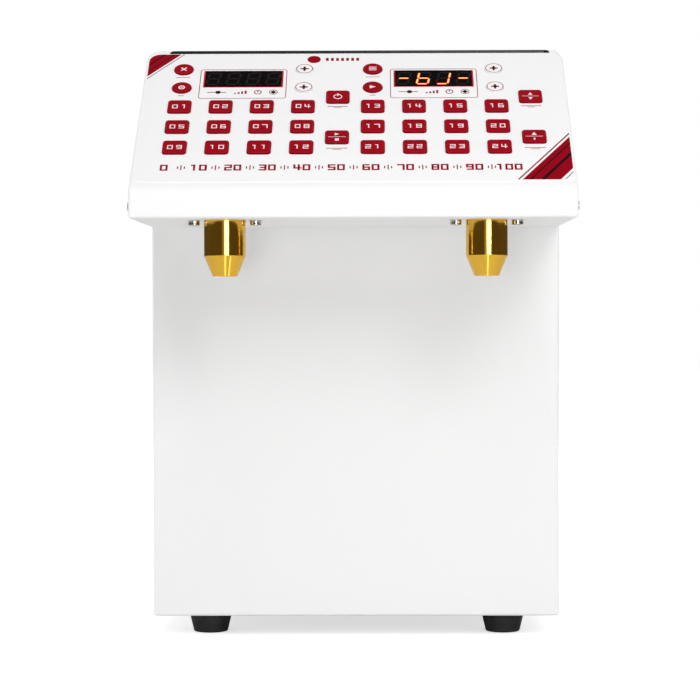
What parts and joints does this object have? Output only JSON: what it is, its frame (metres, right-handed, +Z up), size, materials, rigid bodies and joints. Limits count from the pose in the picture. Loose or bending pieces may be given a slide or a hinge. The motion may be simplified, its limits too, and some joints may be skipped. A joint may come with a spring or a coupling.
{
  "type": "fructose dispenser",
  "caption": "Countertop syrup dispenser: white sheet-metal cabinet with an overhanging head, sloped push-key panel with displays, twin gold nozzles, hinged tank lid and rubber feet.",
  "frame": {"origin": "on the surface it stands on, under the middle of the bounding box", "axes": "+Z up, -Y out of the front with the key panel and nozzles, +X to the viewer's right"},
  "size_m": [0.3324, 0.412, 0.4845],
  "materials": {
    "cabinet_coat": "white gloss powder coat on folded sheet steel",
    "panel_film": "white printed membrane film",
    "key_crimson": "crimson key with a raised rim",
    "key_white": "white key with a crimson ring",
    "display_lens": "smoked lens",
    "circuit_board": "green solder mask",
    "lid_plastic": "black moulded lid",
    "tank_steel": "brushed stainless steel",
    "nozzle_brass": "polished gold-plated brass",
    "pump_plastic": "grey moulded pump and motor housing",
    "shaft_steel": "turned steel",
    "hose_silicone": "translucent silicone hose",
    "foot_rubber": "black rubber",
    "supply_case": "perforated aluminium case",
    "inlet_plastic": "black mains inlet",
    "rocker_plastic": "black rocker"
  },
  "bodies": {
    "cabinet": {"casing": "cabinet_coat", "front_cover": "cabinet_coat", "rear_cover": "cabinet_coat", "membrane_overlay": "panel_film", "display_left": "display_lens", "display_right": "display_lens", "control_board": "circuit_board", "syrup_tank": "tank_steel", "nozzle_left": "nozzle_brass", "nozzle_right": "nozzle_brass", "pump_left": "pump_plastic", "pump_right": "pump_plastic", "hose_left": "hose_silicone", "hose_right": "hose_silicone", "foot_front_left": "foot_rubber", "foot_front_right": "foot_rubber", "foot_rear_left": "foot_rubber", "foot_rear_right": "foot_rubber", "power_supply": "supply_case", "power_inlet": "inlet_plastic"},
    "lid_flap": {"lid": "lid_plastic"},
    "rocker": {"power_rocker": "rocker_plastic"},
    "shaft_left": {"pump_shaft_left": "shaft_steel"},
    "shaft_right": {"pump_shaft_right": "shaft_steel"},
    "key_01_cap": {"key_01": "key_crimson"},
    "key_02_cap": {"key_02": "key_crimson"},
    "key_03_cap": {"key_03": "key_crimson"},
    "key_04_cap": {"key_04": "key_crimson"},
    "key_05_cap": {"key_05": "key_crimson"},
    "key_06_cap": {"key_06": "key_crimson"},
    "key_07_cap": {"key_07": "key_crimson"},
    "key_08_cap": {"key_08": "key_crimson"},
    "key_09_cap": {"key_09": "key_crimson"},
    "key_10_cap": {"key_10": "key_crimson"},
    "key_11_cap": {"key_11": "key_crimson"},
    "key_12_cap": {"key_12": "key_crimson"},
    "key_13_cap": {"key_13": "key_crimson"},
    "key_14_cap": {"key_14": "key_crimson"},
    "key_15_cap": {"key_15": "key_crimson"},
    "key_16_cap": {"key_16": "key_crimson"},
    "key_17_cap": {"key_17": "key_crimson"},
    "key_18_cap": {"key_18": "key_crimson"},
    "key_19_cap": {"key_19": "key_crimson"},
    "key_20_cap": {"key_20": "key_crimson"},
    "key_21_cap": {"key_21": "key_crimson"},
    "key_22_cap": {"key_22": "key_crimson"},
    "key_23_cap": {"key_23": "key_crimson"},
    "key_24_cap": {"key_24": "key_crimson"},
    "key_power_cap": {"key_power": "key_crimson"},
    "key_start_cap": {"key_start": "key_crimson"},
    "key_range_cap": {"key_range": "key_crimson"},
    "key_shift_cap": {"key_shift": "key_crimson"},
    "key_escape_cap": {"key_escape": "key_crimson"},
    "key_set_cap": {"key_set": "key_crimson"},
    "key_menu_cap": {"key_menu": "key_crimson"},
    "key_run_cap": {"key_run": "key_crimson"},
    "key_plus_left_cap": {"key_plus_left": "key_white"},
    "key_minus_left_cap": {"key_minus_left": "key_white"},
    "key_plus_right_cap": {"key_plus_right": "key_white"},
    "key_minus_right_cap": {"key_minus_right": "key_white"}
  },
  "joints": [
    {"name": "lid_hinge", "type": "hinge", "parent": "cabinet", "child": "lid_flap", "pos_m": [0.0038, 0.1915, 0.4777], "axis": [-1, 0, 0], "range_deg": [0, 100]},
    {"name": "rocker_tilt", "type": "hinge", "parent": "cabinet", "child": "rocker", "pos_m": [-0.1, 0.202, 0.102], "axis": [1, 0, 0], "range_deg": [0, 14]},
    {"name": "shaft_spin_left", "type": "hinge", "parent": "cabinet", "child": "shaft_left", "pos_m": [-0.075, 0.04, 0.0635], "axis": [0, 1, 0], "continuous": true},
    {"name": "shaft_spin_right", "type": "hinge", "parent": "cabinet", "child": "shaft_right", "pos_m": [0.075, 0.04, 0.0635], "axis": [0, 1, 0], "continuous": true},
    {"name": "key_01_press", "type": "slide", "parent": "cabinet", "child": "key_01_cap", "axis": [0, 0.6266, -0.7793], "range_m": [0, 0.0005], "stiffness_N_per_m": 500},
    {"name": "key_02_press", "type": "slide", "parent": "cabinet", "child": "key_02_cap", "axis": [0, 0.6266, -0.7793], "range_m": [0, 0.0005], "stiffness_N_per_m": 500},
    {"name": "key_03_press", "type": "slide", "parent": "cabinet", "child": "key_03_cap", "axis": [0, 0.6266, -0.7793], "range_m": [0, 0.0005], "stiffness_N_per_m": 500},
    {"name": "key_04_press", "type": "slide", "parent": "cabinet", "child": "key_04_cap", "axis": [0, 0.6266, -0.7793], "range_m": [0, 0.0005], "stiffness_N_per_m": 500},
    {"name": "key_05_press", "type": "slide", "parent": "cabinet", "child": "key_05_cap", "axis": [0, 0.6266, -0.7793], "range_m": [0, 0.0005], "stiffness_N_per_m": 500},
    {"name": "key_06_press", "type": "slide", "parent": "cabinet", "child": "key_06_cap", "axis": [0, 0.6266, -0.7793], "range_m": [0, 0.0005], "stiffness_N_per_m": 500},
    {"name": "key_07_press", "type": "slide", "parent": "cabinet", "child": "key_07_cap", "axis": [0, 0.6266, -0.7793], "range_m": [0, 0.0005], "stiffness_N_per_m": 500},
    {"name": "key_08_press", "type": "slide", "parent": "cabinet", "child": "key_08_cap", "axis": [0, 0.6266, -0.7793], "range_m": [0, 0.0005], "stiffness_N_per_m": 500},
    {"name": "key_09_press", "type": "slide", "parent": "cabinet", "child": "key_09_cap", "axis": [0, 0.6266, -0.7793], "range_m": [0, 0.0005], "stiffness_N_per_m": 500},
    {"name": "key_10_press", "type": "slide", "parent": "cabinet", "child": "key_10_cap", "axis": [0, 0.6266, -0.7793], "range_m": [0, 0.0005], "stiffness_N_per_m": 500},
    {"name": "key_11_press", "type": "slide", "parent": "cabinet", "child": "key_11_cap", "axis": [0, 0.6266, -0.7793], "range_m": [0, 0.0005], "stiffness_N_per_m": 500},
    {"name": "key_12_press", "type": "slide", "parent": "cabinet", "child": "key_12_cap", "axis": [0, 0.6266, -0.7793], "range_m": [0, 0.0005], "stiffness_N_per_m": 500},
    {"name": "key_13_press", "type": "slide", "parent": "cabinet", "child": "key_13_cap", "axis": [0, 0.6266, -0.7793], "range_m": [0, 0.0005], "stiffness_N_per_m": 500},
    {"name": "key_14_press", "type": "slide", "parent": "cabinet", "child": "key_14_cap", "axis": [0, 0.6266, -0.7793], "range_m": [0, 0.0005], "stiffness_N_per_m": 500},
    {"name": "key_15_press", "type": "slide", "parent": "cabinet", "child": "key_15_cap", "axis": [0, 0.6266, -0.7793], "range_m": [0, 0.0005], "stiffness_N_per_m": 500},
    {"name": "key_16_press", "type": "slide", "parent": "cabinet", "child": "key_16_cap", "axis": [0, 0.6266, -0.7793], "range_m": [0, 0.0005], "stiffness_N_per_m": 500},
    {"name": "key_17_press", "type": "slide", "parent": "cabinet", "child": "key_17_cap", "axis": [0, 0.6266, -0.7793], "range_m": [0, 0.0005], "stiffness_N_per_m": 500},
    {"name": "key_18_press", "type": "slide", "parent": "cabinet", "child": "key_18_cap", "axis": [0, 0.6266, -0.7793], "range_m": [0, 0.0005], "stiffness_N_per_m": 500},
    {"name": "key_19_press", "type": "slide", "parent": "cabinet", "child": "key_19_cap", "axis": [0, 0.6266, -0.7793], "range_m": [0, 0.0005], "stiffness_N_per_m": 500},
    {"name": "key_20_press", "type": "slide", "parent": "cabinet", "child": "key_20_cap", "axis": [0, 0.6266, -0.7793], "range_m": [0, 0.0005], "stiffness_N_per_m": 500},
    {"name": "key_21_press", "type": "slide", "parent": "cabinet", "child": "key_21_cap", "axis": [0, 0.6266, -0.7793], "range_m": [0, 0.0005], "stiffness_N_per_m": 500},
    {"name": "key_22_press", "type": "slide", "parent": "cabinet", "child": "key_22_cap", "axis": [0, 0.6266, -0.7793], "range_m": [0, 0.0005], "stiffness_N_per_m": 500},
    {"name": "key_23_press", "type": "slide", "parent": "cabinet", "child": "key_23_cap", "axis": [0, 0.6266, -0.7793], "range_m": [0, 0.0005], "stiffness_N_per_m": 500},
    {"name": "key_24_press", "type": "slide", "parent": "cabinet", "child": "key_24_cap", "axis": [0, 0.6266, -0.7793], "range_m": [0, 0.0005], "stiffness_N_per_m": 500},
    {"name": "key_power_press", "type": "slide", "parent": "cabinet", "child": "key_power_cap", "axis": [0, 0.6266, -0.7793], "range_m": [0, 0.0005], "stiffness_N_per_m": 500},
    {"name": "key_start_press", "type": "slide", "parent": "cabinet", "child": "key_start_cap", "axis": [0, 0.6266, -0.7793], "range_m": [0, 0.0005], "stiffness_N_per_m": 500},
    {"name": "key_range_press", "type": "slide", "parent": "cabinet", "child": "key_range_cap", "axis": [0, 0.6266, -0.7793], "range_m": [0, 0.0005], "stiffness_N_per_m": 500},
    {"name": "key_shift_press", "type": "slide", "parent": "cabinet", "child": "key_shift_cap", "axis": [0, 0.6266, -0.7793], "range_m": [0, 0.0005], "stiffness_N_per_m": 500},
    {"name": "key_escape_press", "type": "slide", "parent": "cabinet", "child": "key_escape_cap", "axis": [0, 0.6266, -0.7793], "range_m": [0, 0.0005], "stiffness_N_per_m": 500},
    {"name": "key_set_press", "type": "slide", "parent": "cabinet", "child": "key_set_cap", "axis": [0, 0.6266, -0.7793], "range_m": [0, 0.0005], "stiffness_N_per_m": 500},
    {"name": "key_menu_press", "type": "slide", "parent": "cabinet", "child": "key_menu_cap", "axis": [0, 0.6266, -0.7793], "range_m": [0, 0.0005], "stiffness_N_per_m": 500},
    {"name": "key_run_press", "type": "slide", "parent": "cabinet", "child": "key_run_cap", "axis": [0, 0.6266, -0.7793], "range_m": [0, 0.0005], "stiffness_N_per_m": 500},
    {"name": "key_plus_left_press", "type": "slide", "parent": "cabinet", "child": "key_plus_left_cap", "axis": [0, 0.6266, -0.7793], "range_m": [0, 0.0005], "stiffness_N_per_m": 500},
    {"name": "key_minus_left_press", "type": "slide", "parent": "cabinet", "child": "key_minus_left_cap", "axis": [0, 0.6266, -0.7793], "range_m": [0, 0.0005], "stiffness_N_per_m": 500},
    {"name": "key_plus_right_press", "type": "slide", "parent": "cabinet", "child": "key_plus_right_cap", "axis": [0, 0.6266, -0.7793], "range_m": [0, 0.0005], "stiffness_N_per_m": 500},
    {"name": "key_minus_right_press", "type": "slide", "parent": "cabinet", "child": "key_minus_right_cap", "axis": [0, 0.6266, -0.7793], "range_m": [0, 0.0005], "stiffness_N_per_m": 500}
  ]
}
